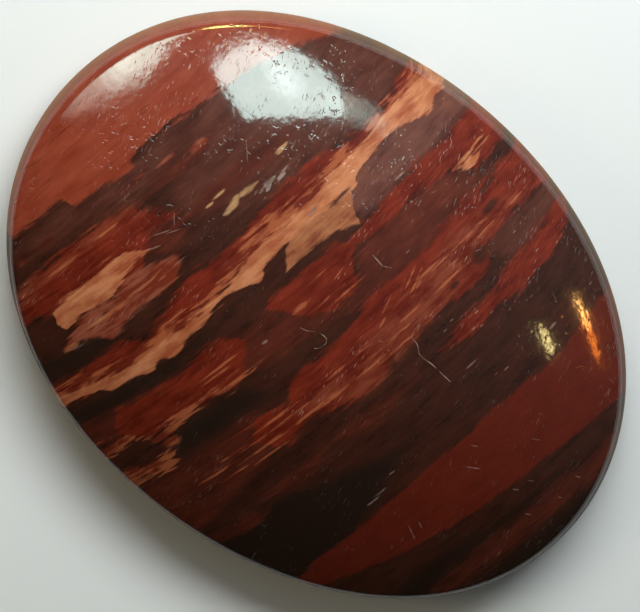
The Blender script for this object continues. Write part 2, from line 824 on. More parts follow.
# Scratches through the polish, and specks of dust
SCRATCHES = Layer(
    name="scratches and dust",
    dark="#8c6e60",
    light="#c0a898",
    streaks=0.8,
    cover=0.36,
    fleck_ragged=2.2,
    on_crown=True,
    flecks=(
        Fleck(-3.8, 12.85, 1.1, 0.08, Lay.STEEP), Fleck(-3.15, 12.65, 0.5, 0.07, Lay.STEEP),
        Fleck(1.2, 11.85, 1.1, 0.07, Lay.OBLIQUE), Fleck(2.0, 10.8, 0.45, 0.08, Lay.OBLIQUE),
        Fleck(5.2, 13.2, 0.55, 0.07, Lay.OBLIQUE), Fleck(2.5, 14.85, 0.45, 0.08, Lay.OBLIQUE),
        Fleck(3.55, 15.1, 0.45, 0.07, Lay.OBLIQUE), Fleck(2.3, 16.75, 0.5, 0.08, Lay.OBLIQUE),
        Fleck(4.5, 17.4, 0.3, 0.08, Lay.OBLIQUE), Fleck(6.1, 17.15, 0.35, 0.08, Lay.OBLIQUE),
        Fleck(3.0, -10.8, 1.1, 0.07, Lay.COUNTER), Fleck(4.75, 6.8, 0.9, 0.1), Fleck(-2.7, 8.75, 0.4, 0.12),
        Fleck(5.5, 4.0, 0.28, 0.07), Fleck(4.8, 4.2, 0.22, 0.06), Fleck(7.0, 4.7, 0.28, 0.07),
        Fleck(6.2, 5.3, 0.24, 0.06), Fleck(6.7, 5.5, 0.22, 0.06), Fleck(7.7, 5.35, 0.28, 0.06),
        Fleck(11.5, 5.5, 0.28, 0.07), Fleck(12.5, 4.75, 0.28, 0.07), Fleck(5.6, 8.3, 0.28, 0.06),
        Fleck(6.3, 8.5, 0.28, 0.06), Fleck(10.3, 8.7, 0.5, 0.14), Fleck(14.0, 8.7, 0.28, 0.07),
        Fleck(-2.9, -10.1, 0.9, 0.07, Lay.FALLING), Fleck(-3.6, -10.5, 0.8, 0.06, Lay.FALLING),
        Fleck(-2.6, -10.6, 0.6, 0.06, Lay.COUNTER), Fleck(-4.4, -10.1, 0.7, 0.06, Lay.FALLING),
        Fleck(-3.9, -8.7, 0.9, 0.08), Fleck(-3.45, -2.15, 0.3, 0.14), Fleck(8.8, -4.1, 0.8, 0.12),
        Fleck(6.1, -0.7, 0.5, 0.1),
    ),
)

# A hooked thread below the middle, a curl of lint in two parts beside it, and a short bit above
LINT = (
    Thread(
        places=((2.85, 3.8), (3.15, 3.05), (3.7, 3.0), (4.3, 2.75), (5.2, 2.95), (6.0, 3.05), (6.7, 3.15)),
    ),
    Thread(
        places=((-1.5, -1.45), (-1.15, -1.3), (-0.8, -1.0), (-0.4, -0.78), (-0.05, -0.74)),
        half_width=0.028,
    ),
    Thread(places=((-1.6, -0.05), (-1.4, 0.1), (-1.0, 0.15), (-0.74, -0.05)), crosses=False),
    Thread(places=((-1.9, 4.4), (-1.2, 4.4), (-0.7, 4.7)), half_width=0.05),
)

LAYERS = (
    BROWN,
    GREY_MAROON,
    RED_BROWN,
    NEAR_BLACK,
    DULL_RED,
    BRICK_RED,
    DEEP_RED,
    ORANGE_RED,
    BRICK_LENS,
    MIXED_BAND,
    SALMON,
    DARK_SPOTS,
    TAN,
    PINK_QUARTZ,
    PALE_FLECKS,
    GREY_FLECKS,
    SCRATCHES,
)


@dataclass
class Painter:
    """Paints layers of mineral over one another in a node tree.

    Fields: the tree, the places along and across the banding and both with the height, the ragged
    and fibrous noises that move the edges, the tone noise that mixes dark and light, and where
    the crown is. While it paints, it keeps how strongly pale and dark hairlines show at each
    place, and the place turned to each lay. Its constants are how far the tone noise is spread
    over the two tones, the radii at which a fleck starts and is full, in shares of its size, how
    much the fibres break it up, and how much of a thread's half width is fully covered.
    """

    TONE_SPREAD: ClassVar[float] = 2.4
    FLECK_RADII: ClassVar[tuple[float, float]] = (1.35, 0.55)
    FLECK_FIBROUS: ClassVar[float] = 1.0
    THREAD_CORE: ClassVar[float] = 0.4

    tree: Tree
    along: Socket
    across: Socket
    joined: Socket
    ragged: Socket
    fibres: Socket
    tone: Socket
    crown: Socket
    hairs: Socket | float = 0.0
    seams: Socket | float = 0.0
    turned: dict[Lay, Socket] = field(default_factory=dict)

    def tones(self, dark: str, light: str, streaks: float) -> Socket:
        """A mineral's colour, its dark and light tones mixed by the fibres.

        Args:
            dark: darker tone in sRGB.
            light: lighter tone in sRGB.
            streaks: how strongly the fibres mix the two.

        Returns:
            The colour.
        """
        spread = {0: self.tone, 1: self.TONE_SPREAD * streaks, 2: NOISE_MIDDLE}
        spread = add_node(self.tree, "Math", spread, operation="MULTIPLY_ADD", use_clamp=True)
        mixed = {"Factor": spread, "A": linear_colour(dark), "B": linear_colour(light)}
        return add_node(self.tree, "Mix", mixed, data_type="RGBA")

    def edge(self, points: Edge, follows: Socket | None = None) -> Socket:
        """The place across the banding of an edge, as a smooth curve of the place along it.

        Args:
            points: the edge's (along, across) places.
            follows: the coordinate that the curve reads, where it isn't the one along the banding.

        Returns:
            The edge's place across, at each place along.
        """
        height = add_node(self.tree, "FloatCurve", {"Value": follows or self.along})
        mapping = self.tree.nodes[-1].mapping
        mapping.use_clip = False
        mapping.extend = "EXTRAPOLATED"
        curve = mapping.curves[0]
        # New points start between the curve's first two, and every point is then moved to its place
        while len(curve.points) < len(points):
            curve.points.new(0.5, 0.5)
        for point, place in zip(curve.points, points):
            point.location = place
            point.handle_type = "AUTO_CLAMPED"
        mapping.update()
        return height

    def inside(self, band: Band) -> Socket:
        """How far inside a band a place is, in millimetres over the band's blur.

        Args:
            band: the band.

        Returns:
            The depth inside it, which is negative outside.
        """
        below_upper = combine(self.tree, "SUBTRACT", self.across, self.edge(band.upper))
        above_lower = combine(self.tree, "SUBTRACT", self.edge(band.lower), self.across)
        depth = combine(self.tree, "MINIMUM", below_upper, above_lower)
        return depth if band.blur == 1 else combine(self.tree, "MULTIPLY", depth, 1 / band.blur)

    def turned_place(self, lay: Lay) -> Socket:
        """The place along and across, turned so that marks of one lay run along its first axis.

        Args:
            lay: how the marks lie.

        Returns:
            The turned vector, whose third part is zero.
        """
        if lay not in self.turned:
            flat = add_node(self.tree, "VectorMath", {0: self.joined, 1: (1, 1, 0)}, operation="MULTIPLY")
            turn = {"Vector": flat, "Angle": -math.radians(lay.value)}
            self.turned[lay] = add_node(self.tree, "VectorRotate", turn, rotation_type="Z_AXIS")
        return self.turned[lay]

    def near(self, fleck: Fleck) -> Socket:
        """How near a place is to a fleck's middle: below one inside its oval, above one outside.

        Args:
            fleck: the fleck.

        Returns:
            The distance from its middle, in shares of its half length and half width.
        """
        turn = math.radians(fleck.lay.value)
        first = math.cos(turn) * fleck.along + math.sin(turn) * fleck.across
        second = math.cos(turn) * fleck.across - math.sin(turn) * fleck.along
        scale = (2 / fleck.length, 2 / fleck.width, 0)
        shift = (-first * scale[0], -second * scale[1], 0)
        local = {0: self.turned_place(fleck.lay), 1: scale, 2: shift}
        local = add_node(self.tree, "VectorMath", local, operation="MULTIPLY_ADD")
        return add_node(self.tree, "VectorMath", {0: local}, output="Value", operation="LENGTH")

    def moved(self, value: Socket, moves: tuple[tuple[Socket, float], ...]) -> Socket:
        """A value with several noises added to it.

        Args:
            value: the value.
            moves: each noise, and how far it moves the value.

        Returns:
            The moved value.
        """
        for noise, reach in moves:
            value = add_node(self.tree, "Math", {0: noise, 1: reach, 2: value}, operation="MULTIPLY_ADD")
        return value

    def fill(self, layer: Layer) -> Socket:
        """Where a layer lies, from zero outside it to one inside.

        Args:
            layer: the layer.

        Returns:
            The share of it at each place.
        """
        masks = []
        if layer.bands:
            depth = combine(self.tree, "MAXIMUM", *[self.inside(band) for band in layer.bands])
            depth = self.moved(depth, ((self.ragged, layer.ragged), (self.fibres, layer.fibrous)))
            masks.append(share_between(self.tree, depth, -layer.softness, layer.softness))
        if layer.flecks:
            radius = combine(self.tree, "MINIMUM", *[self.near(fleck) for fleck in layer.flecks])
            moves = ((self.fibres, -self.FLECK_FIBROUS), (self.ragged, -layer.fleck_ragged))
            radius = self.moved(radius, moves)
            masks.append(share_between(self.tree, radius, *self.FLECK_RADII))
        return combine(self.tree, "MAXIMUM", *masks)

    def paint(self, layer: Layer, below: Socket) -> Socket:
        """Lays one layer over the colour below it.

        Args:
            layer: the layer.
            below: the colour that it covers.

        Returns:
            The colour with the layer on it.
        """
        parts = (self.fill(layer), self.crown) if layer.on_crown else (self.fill(layer),)
        covered = combine(self.tree, "MULTIPLY", *parts, layer.cover)
        self.hairs = add_node(self.tree, "Mix", {"Factor": covered, "A": self.hairs, "B": layer.hairs})
        self.seams = add_node(self.tree, "Mix", {"Factor": covered, "A": self.seams, "B": layer.seams})
        tone = self.tones(layer.dark, layer.light, layer.streaks)
        laid = {"Factor": covered, "A": below, "B": tone}
        return add_node(self.tree, "Mix", laid, data_type="RGBA", label=layer.name)

    def cover(self, below: Socket, share: Socket, tone: str) -> Socket:
        """Covers a share of the colour below with one tone.

        Args:
            below: the colour.
            share: how much of it is covered at each place.
            tone: the covering colour in sRGB.

        Returns:
            The covered colour.
        """
        laid = {"Factor": share, "A": below, "B": linear_colour(tone)}
        return add_node(self.tree, "Mix", laid, data_type="RGBA")

    def trace(self, thread: Thread) -> Socket:
        """Follows a thread from its first place to its last.

        Args:
            thread: the thread.

        Returns:
            One on the thread, and zero off it.
        """
        follows, other = (self.across, self.along) if thread.crosses else (self.along, self.across)
        aside = combine(self.tree, "SUBTRACT", other, self.edge(thread.places, follows))
        aside = add_node(self.tree, "Math", {0: aside}, operation="ABSOLUTE")
        first, last = thread.places[0][0], thread.places[-1][0]
        from_middle = combine(self.tree, "SUBTRACT", follows, (first + last) / 2)
        from_middle = add_node(self.tree, "Math", {0: from_middle}, operation="ABSOLUTE")
        beyond_end = combine(self.tree, "SUBTRACT", from_middle, (last - first) / 2)
        off = combine(self.tree, "MAXIMUM", aside, beyond_end)
        return share_between(self.tree, off, thread.half_width, thread.half_width * self.THREAD_CORE)


@dataclass(frozen=True)
class Grain:
    """A noise that is stretched along the banding.

    Fields: how far one lump of it reaches along, across and up, in millimetres, and how many finer
    noises are added to it.
    """

    along: float
    across: float
    up: float
    detail: float

    def noise(self, tree: Tree, place: Socket) -> Socket:
        """Adds the noise, centred on zero.

        Args:
            tree: the material's node tree.
            place: vector of along, across and height, in millimetres.

        Returns:
            The noise, from about -0.5 to 0.5.
        """
        lumps = (1 / self.along, 1 / self.across, 1 / self.up)
        scaled = add_node(tree, "VectorMath", {0: place, 1: lumps}, operation="MULTIPLY")
        finish = {"Vector": scaled, "Scale": 1.0, "Detail": self.detail, "Roughness": GRAIN_ROUGHNESS}
        return combine(tree, "SUBTRACT", add_node(tree, "TexNoise", finish), NOISE_MIDDLE)


@dataclass(frozen=True)
class EvenGrain:
    """A noise that is the same every way, in a skin or in paper.

    Fields: how many lumps of it lie in a millimetre, and how many finer noises are added to it.
    """

    lumps: float
    detail: float

    def noise(self, tree: Tree, own: Socket) -> Socket:
        """Adds the noise.

        Args:
            tree: the material's node tree.
            own: the piece's own coordinates, in metres.

        Returns:
            The noise, from about zero to one.
        """
        return add_node(tree, "TexNoise", {"Vector": own, "Scale": self.lumps / MM, "Detail": self.detail})


@dataclass(frozen=True)
class Hairlines:
    """Short marks of one kind, drawn where a stretched noise rises above a level, in patches.

    Fields: their colour in sRGB, the noise's grain, the levels of it at which a mark starts and is
    full, and the levels of the patches' noise at which they start to show and show fully.
    """

    tone: str
    grain: Grain
    levels: tuple[float, float]
    patch_levels: tuple[float, float]

    def draw(self, tree: Tree, place: Socket, patches: Socket) -> Socket:
        """Draws the marks.

        Args:
            tree: the material's node tree.
            place: vector of along, across and height, turned to the marks' lay.
            patches: the noise that says where they lie.

        Returns:
            One on a mark, and zero off it.
        """
        marks = share_between(tree, self.grain.noise(tree, place), *self.levels)
        return combine(tree, "MULTIPLY", marks, share_between(tree, patches, *self.patch_levels))


@dataclass(frozen=True)
class PolishedJasper:
    """Polished snakeskin jasper: opaque iron-stained chalcedony, domed and tin-oxide polished by hand.

    To the eye it is saturated and opaque. Its glassy skin mirrors a window sharply, crackled by fine
    pits and etched marks. Its wall is ground and dull, and its back is lapped.
    """

    banding: Banding = field(default_factory=Banding)
    layers: tuple[Layer, ...] = LAYERS
    ground_dark: str = "#2e1710"
    ground_light: str = "#44241a"
    ground_streaks: float = 0.8
    # The noises that move the layers' edges and mix their tones, and the patches of hairlines
    ragged: Grain = Grain(0.7, 0.26, 1.2, 4.0)
    fibres: Grain = Grain(2.2, 0.27, 1.4, 4.0)
    mottle: Grain = Grain(2.0, 0.9, 2.0, 5.0)
    patches: Grain = Grain(2.2, 1.0, 1.5, 2.0)
    # How strongly the fibres mix the tones, beside the mottling
    fibre_share: float = 0.7
    # The fibres wander with a broad noise: its lumps in a millimetre, and how far it moves them
    drift_lumps: tuple[float, float, float] = (0.3, 0.7, 0.4)
    drift_detail: float = 1.0
    drift_reach: tuple[float, float, float] = (0.8, 0.5, 0.0)
    # Pale hairlines of quartz, and dark ones of iron oxide
    hair: Hairlines = Hairlines("#b4705a", Grain(1.3, 0.085, 1.0, 2.0), (0.10, 0.28), (-0.06, 0.19))
    seam: Hairlines = Hairlines("#2c120b", Grain(2.6, 0.11, 1.2, 2.0), (0.10, 0.26), (-0.20, 0.05))
    # Etched marks in the polish, which show palest where the pale hairlines do
    etch: Hairlines = Hairlines("#c4a08c", Grain(0.6, 0.075, 1.0, 1.0), (0.14, 0.23), (-0.02, 0.20))
    etched_patches: Grain = Grain(2.3, 1.3, 1.5, 2.0)
    etch_on_hairs: float = 0.6
    etch_elsewhere: float = 0.05
    etch_depth: float = 1.5
    etch_roughness: float = 0.25
    # Lint lying on the polish, which lifts off and frays where its noise is low
    lint: str = "#9c8478"
    threads: tuple[Thread, ...] = LINT
    fray: Grain = Grain(0.5, 0.5, 0.5, 2.0)
    fray_contrast: float = 3.0
    fray_middle: float = 0.6
    # Chalcedony bends light a little less than quartz crystal
    ior: float = 1.54
    polish: float = 0.08
    lapped: float = 0.42
    lapped_height: float = 1.0
    # The wall is ground but not polished, and grey-olive dust sits in its grain
    ground_wall: str = "#8a7c42"
    wall_dust: float = 0.35
    wall_roughness: float = 0.7
    # How much sooner than the dust the ground finish takes over down the wall
    ground_gain: float = 5.0
    # The heights between which the crown's marks end, and those where the wall's finish comes and goes
    crown_top: float = 3.5
    crown_foot: float = 3.3
    wall_foot: float = 1.7
    heel_top: float = 1.3
    heel_foot: float = 0.7
    # The polish is wavy, with a finer peel over its waves
    waves: EvenGrain = EvenGrain(0.6, 2.0)
    peel: EvenGrain = EvenGrain(3.0, 1.0)
    peel_share: float = 0.22
    # Pits lie where it is worn
    pits: EvenGrain = EvenGrain(3.2, 2.0)
    pit_levels: tuple[float, float] = (0.61, 0.70)
    pit_depth: float = 0.6
    wear: EvenGrain = EvenGrain(0.35, 1.0)
    wear_levels: tuple[float, float] = (0.46, 0.70)
    # How far the waves rise and fall
    relief: float = 0.014

    def build(self) -> bpy.types.Material:
        """Makes the material, from the banding through the skin's wear to the shader.

        Returns:
            The finished material.
        """
        material = bpy.data.materials.new("Polished snakeskin jasper")
        tree = empty_tree(material)
        colour, etching = self.colour(tree)
        wall = self.wall(tree)
        dust = combine(tree, "MULTIPLY", wall, self.wall_dust)
        dusty = {"Factor": dust, "A": colour, "B": linear_colour(self.ground_wall)}
        colour = add_node(tree, "Mix", dusty, data_type="RGBA")
        roughness, normal = self.skin(tree, etching, wall)
        surface = {"Base Color": colour, "Roughness": roughness, "Normal": normal, "IOR": self.ior}
        add_node(tree, "OutputMaterial", {"Surface": add_node(tree, "BsdfPrincipled", surface)})
        return material

    def place(self, tree: Tree) -> tuple[Socket, Socket, Socket]:
        """Turns the stone's own coordinates into millimetres along, across and up through the banding.

        Args:
            tree: the material's node tree.

        Returns:
            The places along and across, and a vector of along, across and height.
        """
        own = add_node(tree, "TexCoord", output="Object")
        parts = []
        for direction, offset in (self.banding.along(), self.banding.across(), (Vector((0, 0, 1)), 0.0)):
            ways = {0: own, 1: direction / MM}
            distance = add_node(tree, "VectorMath", ways, output="Value", operation="DOT_PRODUCT")
            parts.append(combine(tree, "ADD", distance, offset))
        return parts[0], parts[1], add_node(tree, "CombineXYZ", dict(enumerate(parts)))

    def wander(self, tree: Tree, joined: Socket) -> Socket:
        """Moves the place that the fibres read by a broad noise, so that they wander.

        Args:
            tree: the material's node tree.
            joined: vector of along, across and height.

        Returns:
            The moved vector.
        """
        scaled = add_node(tree, "VectorMath", {0: joined, 1: self.drift_lumps}, operation="MULTIPLY")
        broad = {"Vector": scaled, "Scale": 1.0, "Detail": self.drift_detail}
        cloud = add_node(tree, "TexNoise", broad, output="Color")
        middle = (NOISE_MIDDLE, NOISE_MIDDLE, NOISE_MIDDLE)
        drift = add_node(tree, "VectorMath", {0: cloud, 1: middle}, operation="SUBTRACT")
        moved = {0: drift, 1: self.drift_reach, 2: joined}
        return add_node(tree, "VectorMath", moved, operation="MULTIPLY_ADD")

    def colour(self, tree: Tree) -> tuple[Socket, Socket]:
        """Paints the layers one over another on the dark ground, then the marks that cross them.

        Args:
            tree: the material's node tree.

        Returns:
            The stone's colour, and where its skin is etched.
        """
        along, across, joined = self.place(tree)
        wandering = self.wander(tree, joined)
        ragged = self.ragged.noise(tree, wandering)
        fibres = self.fibres.noise(tree, wandering)
        mottle = self.mottle.noise(tree, joined)
        tone = add_node(tree, "Math", {0: fibres, 1: self.fibre_share, 2: mottle}, operation="MULTIPLY_ADD")
        crown = self.rise(tree, self.crown_foot, self.crown_top)
        painter = Painter(tree, along, across, joined, ragged, fibres, tone, crown)
        colour = painter.tones(self.ground_dark, self.ground_light, self.ground_streaks)
        for layer in self.layers:
            colour = painter.paint(layer, colour)
        patches = self.patches.noise(tree, joined)
        seams = combine(tree, "MULTIPLY", self.seam.draw(tree, wandering, patches), painter.seams)
        colour = painter.cover(colour, seams, self.seam.tone)
        slanting = painter.turned_place(Lay.SLANTING)
        hairs = combine(tree, "MULTIPLY", self.hair.draw(tree, slanting, patches), painter.hairs)
        colour = painter.cover(colour, hairs, self.hair.tone)
        etched_patches = self.etched_patches.noise(tree, joined)
        etching = self.etch.draw(tree, painter.turned_place(Lay.RISING), etched_patches)
        etching = combine(tree, "MULTIPLY", etching, crown)
        paleness = {0: painter.hairs, 1: self.etch_on_hairs, 2: self.etch_elsewhere}
        paleness = add_node(tree, "Math", paleness, operation="MULTIPLY_ADD", use_clamp=True)
        colour = painter.cover(colour, combine(tree, "MULTIPLY", etching, paleness), self.etch.tone)
        return painter.cover(colour, self.lie_of_lint(painter), self.lint), etching

    def lie_of_lint(self, painter: Painter) -> Socket:
        """Where lint lies on the crown.

        Args:
            painter: the painter, which traces the threads.

        Returns:
            One on a thread, less where it is frayed, and zero off it.
        """
        tree = painter.tree
        threads = combine(tree, "MAXIMUM", *[painter.trace(thread) for thread in self.threads])
        frayed = {0: self.fray.noise(tree, painter.joined), 1: self.fray_contrast, 2: self.fray_middle}
        frayed = add_node(tree, "Math", frayed, operation="MULTIPLY_ADD", use_clamp=True)
        return combine(tree, "MULTIPLY", threads, frayed, painter.crown)

    def rise(self, tree: Tree, start: float, full: float) -> Socket:
        """A share that grows evenly from zero at one height in millimetres to one at another.

        Args:
            tree: the material's node tree.
            start: the height where the share is zero.
            full: the height where it is one, above or below the first.

        Returns:
            The share.
        """
        own = add_node(tree, "TexCoord", output="Object")
        height = add_node(tree, "SeparateXYZ", {0: own}, output="Z")
        return add_node(tree, "MapRange", {"Value": height, "From Min": start * MM, "From Max": full * MM})

    def wall(self, tree: Tree) -> Socket:
        """How much of the wall's ground finish a height has: all at its foot, none on crown or back.

        Args:
            tree: the material's node tree.

        Returns:
            The share.
        """
        below_crown = self.rise(tree, self.crown_top, self.wall_foot)
        above_back = self.rise(tree, self.heel_foot, self.heel_top)
        return combine(tree, "MULTIPLY", below_crown, above_back)

    def skin(self, tree: Tree, etching: Socket, wall: Socket) -> tuple[Socket, Socket]:
        """The polish, with its waves, pits and etched marks, the dull wall and the lapped back.

        Args:
            tree: the material's node tree.
            etching: where the skin is etched.
            wall: how much of the wall's ground finish each place has.

        Returns:
            The roughness and the normal.
        """
        lapping = self.rise(tree, self.lapped_height, 0.0)
        polish = add_node(tree, "Mix", {"Factor": lapping, "A": self.polish, "B": self.lapped})
        roughness = {0: etching, 1: self.etch_roughness, 2: polish}
        roughness = add_node(tree, "Math", roughness, operation="MULTIPLY_ADD")
        ground = add_node(tree, "Math", {0: wall, 1: self.ground_gain}, operation="MULTIPLY", use_clamp=True)
        roughness = add_node(tree, "Mix", {"Factor": ground, "A": roughness, "B": self.wall_roughness})
        own = add_node(tree, "TexCoord", output="Object")
        pitted = share_between(tree, self.pits.noise(tree, own), *self.pit_levels)
        worn = share_between(tree, self.wear.noise(tree, own), *self.wear_levels)
        pits = combine(tree, "MULTIPLY", pitted, worn, self.pit_depth)
        marks = combine(tree, "MAXIMUM", etching, pits)
        waves = {0: self.peel.noise(tree, own), 1: self.peel_share, 2: self.waves.noise(tree, own)}
        waves = add_node(tree, "Math", waves, operation="MULTIPLY_ADD")
        height = {0: marks, 1: -self.etch_depth, 2: waves}
        height = add_node(tree, "Math", height, operation="MULTIPLY_ADD")
        return roughness, add_node(tree, "Bump", {"Height": height, "Distance": self.relief * MM})


@dataclass(frozen=True)
class WhitePaper:
    """Uncoated white paper, pressed smooth: matt, very slightly cool, with next to no gloss."""

    tone: str = "#e9efed"
    roughness: float = 0.9
    ior: float = 1.3
    # The felt's grain, and how far it rises and falls
    grain: EvenGrain = EvenGrain(1.2, 3.0)
    relief: float = 0.01

    def build(self) -> bpy.types.Material:
        """Makes the paper's material, with a faint felt grain.

        Returns:
            The finished material.
        """
        material = bpy.data.materials.new("Matt white paper")
        tree = empty_tree(material)
        grain = self.grain.noise(tree, add_node(tree, "TexCoord", output="Object"))
        bump = add_node(tree, "Bump", {"Height": grain, "Distance": self.relief * MM})
        surface = {"Base Color": linear_colour(self.tone), "Roughness": self.roughness}
        surface |= {"Normal": bump, "IOR": self.ior}
        add_node(tree, "OutputMaterial", {"Surface": add_node(tree, "BsdfPrincipled", surface)})
        return material


@dataclass
class Cabochon:
    """The stone: a low crown over a narrow steep wall, a rounded girdle and a shallow belly.

    The section is drawn in the mean radius, carried round the oval outline, and then fitted to the
    size that the frame gives. All sizes are in millimetres.
    """

    length: float
    width: float
    thickness: float
    shoulder_height: float = 3.6
    girdle_height: float = 2.3
    heel_height: float = 0.9
    crown_power: float = 2.3
    wall_width: float = 0.42
    heel_inset: float = 0.03
    shoulder_rounding: float = 0.35
    girdle_rounding_above: float = 0.8
    girdle_rounding_below: float = 0.5
    heel_rounding: float = 0.5
    flat_share: float = 0.62
    belly_straight_share: float = 0.6
    belly_power: float = 2.2
    egg: tuple[float, float] = (0.006, -0.003)
    square: tuple[float, float] = (-0.0055, -0.002)
    crown_shift: tuple[float, float] = (-0.15, -0.16)
    sectors: int = 400
    crown_steps: int = 120
    rounding_steps: int = 16
    belly_steps: int = 30
    flat_steps: int = 12

    @property
    def mean_radius(self) -> float:
        """Radius of the circle with the outline's area."""
        return math.sqrt(self.length * self.width) / 2

    def rounded(self, before: np.ndarray, corner: np.ndarray, after: np.ndarray) -> np.ndarray:
        """A rounded corner, as the parabola that touches both of its sides.

        The point at a share u is before times (1 - u) squared, plus the corner times 2 u (1 - u),
        plus after times u squared.

        Args:
            before: where the rounding starts.
            corner: the corner itself.
            after: where the rounding ends.

        Returns:
            Points (radius, height) along the rounding.
        """
        u = np.linspace(0, 1, self.rounding_steps + 1)[:, None]
        return before * (1 - u) ** 2 + corner * 2 * u * (1 - u) + after * u**2

    def section(self) -> np.ndarray:
        """The half section, from the top of the crown to the middle of the flat.

        The crown falls as the share of the way to the shoulder to the crown's power. The belly is a
        straight part plus a power of the share that is left on the way to the flat.

        Returns:
            Points (radius, height) in millimetres.
        """
        shoulder = np.array([self.mean_radius - self.wall_width, self.shoulder_height])
        girdle = np.array([self.mean_radius, self.girdle_height])
        heel = np.array([self.mean_radius - self.heel_inset, self.heel_height])
        flat_radius = self.mean_radius * self.flat_share
        upper_wall = (girdle - shoulder) / np.linalg.norm(girdle - shoulder)
        lower_wall = (heel - girdle) / np.linalg.norm(heel - girdle)
        belly = np.array([flat_radius, 0]) - heel
        belly = belly / np.linalg.norm(belly)

        share = np.linspace(0, 1 - self.shoulder_rounding / shoulder[0], self.crown_steps + 1)
        drop = (self.thickness - self.shoulder_height) * share**self.crown_power
        crown = np.stack([shoulder[0] * share, self.thickness - drop], axis=1)
        top = self.rounded(crown[-1], shoulder, shoulder + upper_wall * self.shoulder_rounding)
        girdle_top = girdle - upper_wall * self.girdle_rounding_above
        middle = self.rounded(girdle_top, girdle, girdle + lower_wall * self.girdle_rounding_below)
        low = self.rounded(heel - lower_wall * self.heel_rounding, heel, heel + belly * self.heel_rounding)
        left = np.linspace(1, 0, self.belly_steps + 1)[1:]
        rise = self.belly_straight_share * left + (1 - self.belly_straight_share) * left**self.belly_power
        under = np.stack([flat_radius + (low[-1, 0] - flat_radius) * left, low[-1, 1] * rise], axis=1)
        inward = np.linspace(flat_radius, 0, self.flat_steps + 1)[1:]
        flat = np.stack([inward, np.zeros(self.flat_steps)], axis=1)
        return np.concatenate([crown, top[1:], middle, low, under, flat])

    def outline(self, angle: np.ndarray) -> np.ndarray:
        """How far the hand-cut outline stands out from a true ellipse.

        The factor is one, plus a share of the cosine and sine of three times the angle, which makes
        it slightly egg-shaped, plus a share of those of four times the angle, which squares it.

        Args:
            angle: angles round the stone.

        Returns:
            A factor near one for each angle.
        """
        egg = self.egg[0] * np.cos(3 * angle) + self.egg[1] * np.sin(3 * angle)
        square = self.square[0] * np.cos(4 * angle) + self.square[1] * np.sin(4 * angle)
        return 1 + egg + square

    def surface(self) -> np.ndarray:
        """The whole surface as rows of the section by sectors round the outline.

        Each point is the section's radius times the outline's factor, stretched to half the length
        along X and half the width along Y. The whole is then fitted to the stone's box, and the
        crown, which was cut by hand, is moved a little aside over the widest line.

        Returns:
            An array of rows by sectors by three, in millimetres.
        """
        section = self.section()
        angle = np.linspace(0, 2 * math.pi, self.sectors, endpoint=False)
        factor = self.outline(angle) / self.mean_radius
        x = section[:, :1] * factor * np.cos(angle) * self.length / 2
        y = section[:, :1] * factor * np.sin(angle) * self.width / 2
        x = (x - (x.min() + x.max()) / 2) * self.length / (x.max() - x.min())
        y = (y - (y.min() + y.max()) / 2) * self.width / (y.max() - y.min())
        z = np.broadcast_to(section[:, 1:], x.shape)
        share = np.clip((z - self.girdle_height) / (self.shoulder_height - self.girdle_height), 0, 1)
        return np.stack([x + self.crown_shift[0] * share, y + self.crown_shift[1] * share, z], axis=2)

    def build(self) -> bpy.types.Object:
        """Puts the surface into a closed mesh, with one point at each end of its axis.

        Returns:
            The stone, smooth all over.
        """
        grid = self.surface()
        rows = len(grid) - 2
        ring = grid[1:-1].reshape(-1, 3)
        points = np.concatenate([grid[:1, :1].reshape(1, 3), ring, grid[-1:, :1].reshape(1, 3)])
        column = np.arange(self.sectors)
        after = (column + 1) % self.sectors
        start = 1 + np.arange(rows - 1)[:, None] * self.sectors
        below = start + self.sectors
        quads = np.stack([start + column, below + column, below + after, start + after], axis=2)
        last = len(points) - 1
        top = np.stack([np.zeros_like(column), 1 + column, 1 + after], axis=1)
        low = last - self.sectors
        bottom = np.stack([np.full_like(column, last), low + after, low + column], axis=1)
        faces = [*top.tolist(), *quads.reshape(-1, 4).tolist(), *bottom.tolist()]
        mesh = bpy.data.meshes.new("cabochon")
        mesh.from_pydata(points * MM, [], faces)
        mesh.shade_smooth()
        stone = bpy.data.objects.new("cabochon", mesh)
        bpy.context.scene.collection.objects.link(stone)
        return stone

    def dress(self, stone: bpy.types.Object, finish: PolishedJasper) -> None:
        """Gives the stone its material and ties it to the frame.

        Args:
            stone: the stone's object.
            finish: what it is made of.
        """
        stone.data.materials.append(finish.build())
        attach(stone, BODY)
        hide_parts(NODE)


class Role(Enum):
    """What a light does: it lights surfaces, or it is only mirrored in the polish."""

    LIGHTS = "lights"
    MIRRORED = "mirrored"


